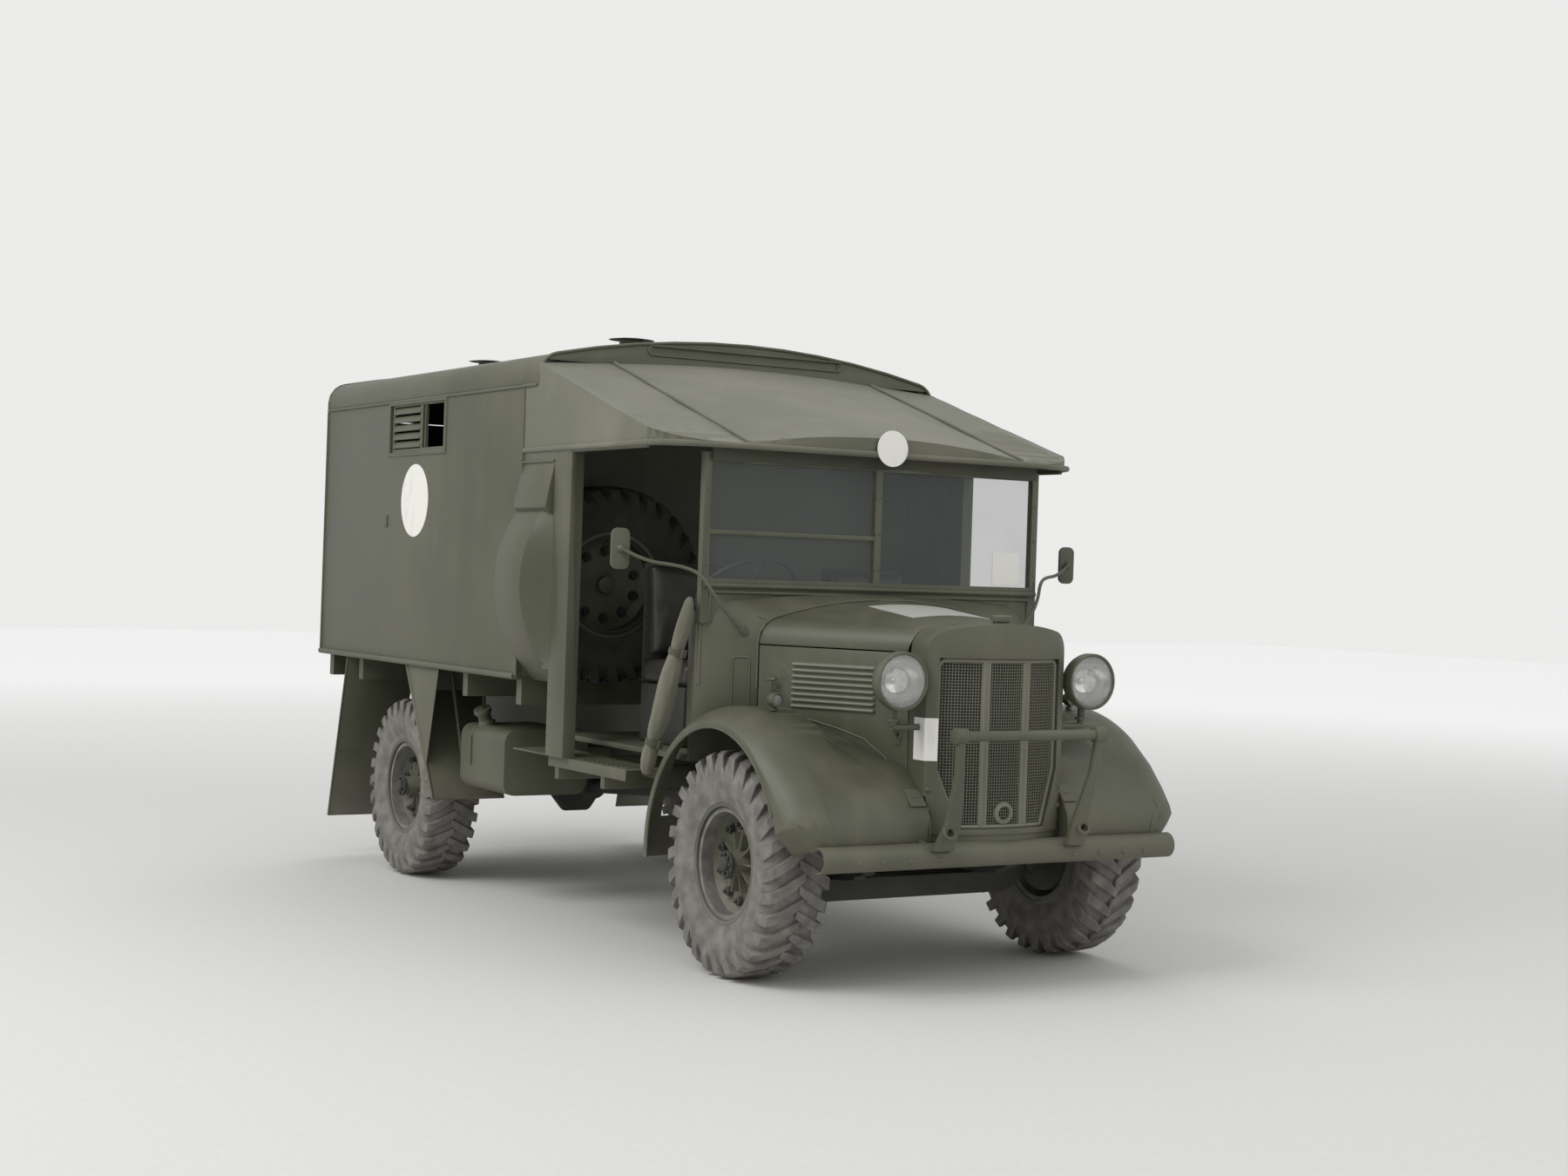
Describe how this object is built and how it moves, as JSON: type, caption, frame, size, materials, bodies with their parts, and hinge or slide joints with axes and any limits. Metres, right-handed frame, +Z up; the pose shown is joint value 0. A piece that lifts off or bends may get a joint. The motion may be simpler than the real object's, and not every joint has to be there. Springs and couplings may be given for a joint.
{
  "type": "military ambulance truck",
  "caption": "Heavy 4x2 ambulance truck with a panelled load body, an open-sided cab under a sloping canvas-covered roof, a tapered bonnet and a brush guard.",
  "frame": {"origin": "on the ground under the middle of the overall length and width", "axes": "+X forward, +Y to the vehicle's left, +Z up"},
  "size_m": [5.4899, 2.452, 2.808],
  "materials": {
    "canvas": "matt proofed canvas",
    "chassis_paint": "matt dark chassis paint",
    "glass": "clear",
    "grille_steel": "matt painted wire mesh",
    "olive_paint": "matt olive service paint",
    "seat_leathercloth": "satin brown",
    "tyre_rubber": "dusty black rubber"
  },
  "bodies": {
    "chassis": {"body_bulkhead": "olive_paint", "body_floor": "olive_paint", "body_rear": "olive_paint", "body_roof": "olive_paint", "body_side_left": "olive_paint", "body_side_right": "olive_paint", "bonnet_sides": "olive_paint", "brush_guard": "olive_paint", "cab_canopy": "canvas", "cab_floor": "olive_paint", "cab_pillars": "olive_paint", "cab_seats": "seat_leathercloth", "canvas_roll": "canvas", "chassis_frame": "chassis_paint", "engine_block": "chassis_paint", "exhaust": "chassis_paint", "front_axle": "chassis_paint", "front_bumper": "olive_paint", "front_wing_left": "olive_paint", "front_wing_right": "olive_paint", "fuel_tank": "olive_paint", "grille": "grille_steel", "headlamp_lenses": "glass", "lamps": "olive_paint", "leaf_springs": "chassis_paint", "mirrors": "olive_paint", "propshaft": "chassis_paint", "radiator_core": "olive_paint", "radiator_shell": "olive_paint", "rear_axle": "chassis_paint", "rear_mudguards": "olive_paint", "roof_ventilators": "olive_paint", "scuttle": "olive_paint", "side_shutters": "olive_paint", "spare_tyre": "tyre_rubber", "spare_wheel": "olive_paint", "spare_wheel_well": "olive_paint", "steering_wheel": "chassis_paint", "stretcher_racks": "chassis_paint", "windscreen_frame": "olive_paint", "windscreen_glass": "glass"},
    "knuckle_right": {"steering_knuckle_right": "chassis_paint"},
    "knuckle_left": {"steering_knuckle_left": "chassis_paint"},
    "track_rod": {"track_rod": "chassis_paint"},
    "front_wheel_right": {"front_wheel_right": "olive_paint", "front_tyre_right": "tyre_rubber"},
    "front_wheel_left": {"front_wheel_left": "olive_paint", "front_tyre_left": "tyre_rubber"},
    "rear_wheel_right": {"rear_wheel_right": "olive_paint", "rear_tyre_right": "tyre_rubber"},
    "rear_wheel_left": {"rear_wheel_left": "olive_paint", "rear_tyre_left": "tyre_rubber"},
    "bonnet": {"bonnet": "olive_paint"},
    "rear_door_right": {"rear_door_right": "olive_paint", "rear_door_glass_right": "glass"},
    "rear_door_left": {"rear_door_left": "olive_paint", "rear_door_glass_left": "glass"},
    "rear_step": {"rear_step": "olive_paint"}
  },
  "joints": [
    {"name": "steer_right", "type": "hinge", "parent": "chassis", "child": "knuckle_right", "pos_m": [1.845, -0.655, 0.47], "axis": [0, 0, 1], "range_deg": [-28, 28]},
    {"name": "steer_left", "type": "hinge", "parent": "chassis", "child": "knuckle_left", "pos_m": [1.845, 0.655, 0.47], "axis": [0, 0, 1], "range_deg": [-28, 28]},
    {"name": "track_rod_eye", "type": "hinge", "parent": "knuckle_right", "child": "track_rod", "pos_m": [1.655, -0.655, 0.364], "axis": [0, 0, 1], "range_deg": [-28, 28]},
    {"name": "front_wheel_spin_right", "type": "hinge", "parent": "knuckle_right", "child": "front_wheel_right", "pos_m": [1.845, -0.8, 0.47], "axis": [0, 1, 0], "continuous": true},
    {"name": "front_wheel_spin_left", "type": "hinge", "parent": "knuckle_left", "child": "front_wheel_left", "pos_m": [1.845, 0.8, 0.47], "axis": [0, 1, 0], "continuous": true},
    {"name": "rear_wheel_spin_right", "type": "hinge", "parent": "chassis", "child": "rear_wheel_right", "pos_m": [-1.559, -0.885, 0.47], "axis": [0, 1, 0], "continuous": true},
    {"name": "rear_wheel_spin_left", "type": "hinge", "parent": "chassis", "child": "rear_wheel_left", "pos_m": [-1.559, 0.885, 0.47], "axis": [0, 1, 0], "continuous": true},
    {"name": "bonnet_hinge", "type": "hinge", "parent": "chassis", "child": "bonnet", "pos_m": [1.637, 0, 1.566], "axis": [0, -1, 0], "range_deg": [0, 50]},
    {"name": "rear_door_hinge_right", "type": "hinge", "parent": "chassis", "child": "rear_door_right", "pos_m": [-2.673, -0.883, 1.82], "axis": [0, 0, 1], "range_deg": [0, 110]},
    {"name": "rear_door_hinge_left", "type": "hinge", "parent": "chassis", "child": "rear_door_left", "pos_m": [-2.673, 0.883, 1.82], "axis": [0, 0, -1], "range_deg": [0, 110]},
    {"name": "rear_step_fold", "type": "hinge", "parent": "chassis", "child": "rear_step", "pos_m": [-2.69, 0, 0.72], "axis": [0, -1, 0], "range_deg": [0, 90]}
  ],
  "couplings": [
    {"joint": "steer_left", "follows": "steer_right", "ratio": 1},
    {"joint": "track_rod_eye", "follows": "steer_right", "ratio": -1}
  ]
}
